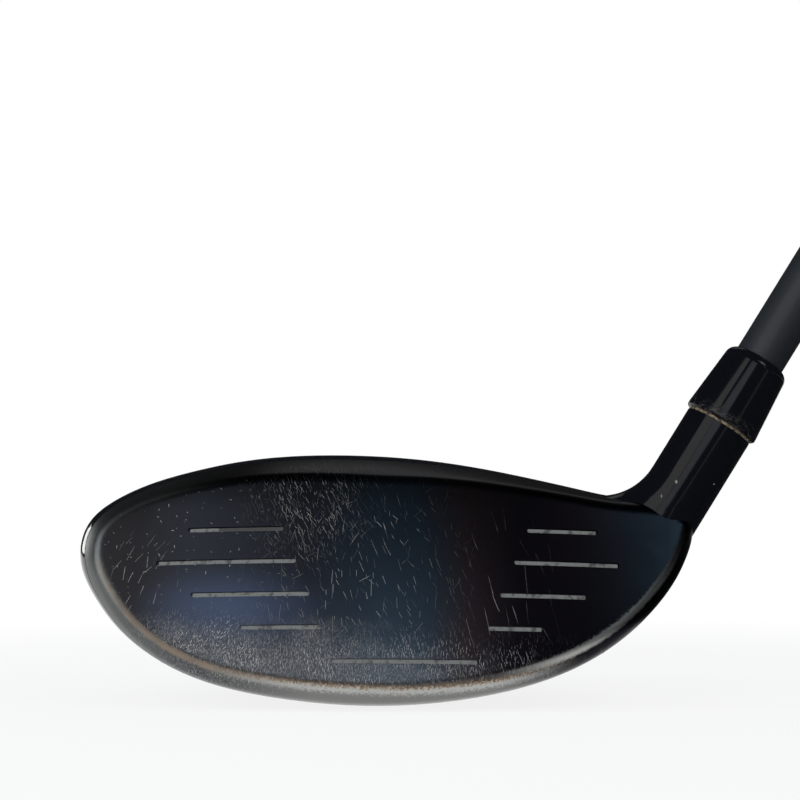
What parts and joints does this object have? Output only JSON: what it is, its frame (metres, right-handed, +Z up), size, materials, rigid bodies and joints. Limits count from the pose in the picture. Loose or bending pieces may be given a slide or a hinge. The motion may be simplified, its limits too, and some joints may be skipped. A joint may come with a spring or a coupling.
{
  "type": "hybrid golf club",
  "caption": "Right-handed hybrid golf club: hollow head with a grooved face cup, screw-held shaft adapter in the hosel, tapered shaft and rubber grip.",
  "frame": {"origin": "the point where the shaft's centre line meets the ground plane, with the club standing at address", "axes": "+Z up, +X from the toe towards the heel (the shaft leans to +X by the lie angle), -Y is where the face looks; the shaft's centre line lies in the XZ plane"},
  "size_m": [0.6379, 0.066, 0.8669],
  "materials": {
    "head_paint": "gloss black paint over cast steel",
    "face_coat": "dark coated steel, brushed and worn",
    "crown_paint": "gloss black paint over carbon composite",
    "inlay": "satin dark resin",
    "heavy_metal": "bare sintered heavy metal",
    "damper_rubber": "soft butyl",
    "weight_steel": "turned steel",
    "screw_steel": "plated steel",
    "seal_rubber": "moulded rubber",
    "shaft_coat": "satin dark grey-blue lacquer over graphite",
    "sleeve_alloy": "anodised",
    "collar_gloss": "gloss black",
    "seal_tan": "tan plastic",
    "plug": "moulded foam",
    "tape": "paper tape",
    "grip_rubber": "moulded rubber",
    "cap_rubber": "smooth moulded rubber"
  },
  "bodies": {
    "shaft_assembly": {"shaft": "shaft_coat", "adapter_sleeve": "sleeve_alloy", "thread_insert": "screw_steel", "collar": "collar_gloss", "collar_seal": "seal_tan", "tip_plug": "plug", "grip_tape": "tape", "grip": "grip_rubber", "grip_cap": "cap_rubber"},
    "head": {"body_shell": "head_paint", "face_cup": "face_coat", "crown": "crown_paint", "sole_inlay": "inlay", "sole_weight": "heavy_metal", "sound_damper": "damper_rubber"},
    "screw_washer": {"hosel_screw_washer": "screw_steel"},
    "screw": {"hosel_screw": "screw_steel"},
    "weight": {"rear_weight": "weight_steel", "rear_weight_seal": "seal_rubber"},
    "weight_screw": {"rear_weight_screw": "screw_steel"}
  },
  "joints": [
    {"name": "head_release", "type": "slide", "parent": "shaft_assembly", "child": "head", "axis": [-0.5314, 0, -0.8471], "range_m": [0, 0.042]},
    {"name": "hosel_screw_lift", "type": "slide", "parent": "head", "child": "screw_washer", "axis": [-0.5314, 0, -0.8471], "range_m": [0, 0.0085]},
    {"name": "hosel_screw_turn", "type": "hinge", "parent": "screw_washer", "child": "screw", "pos_m": [0.0085, 0, 0.01355], "axis": [-0.5314, 0, -0.8471], "range_deg": [0, 3830]},
    {"name": "rear_weight_lift", "type": "slide", "parent": "head", "child": "weight", "axis": [0, 0.2588, -0.9659], "range_m": [0, 0.006]},
    {"name": "rear_weight_screw_turn", "type": "hinge", "parent": "weight", "child": "weight_screw", "pos_m": [-0.034, 0.02643, 0.00322], "axis": [0, 0.2588, -0.9659], "range_deg": [0, 3090]}
  ],
  "couplings": [
    {"joint": "hosel_screw_turn", "follows": "hosel_screw_lift", "rad_per_m": 7854},
    {"joint": "rear_weight_screw_turn", "follows": "rear_weight_lift", "rad_per_m": 8976}
  ]
}
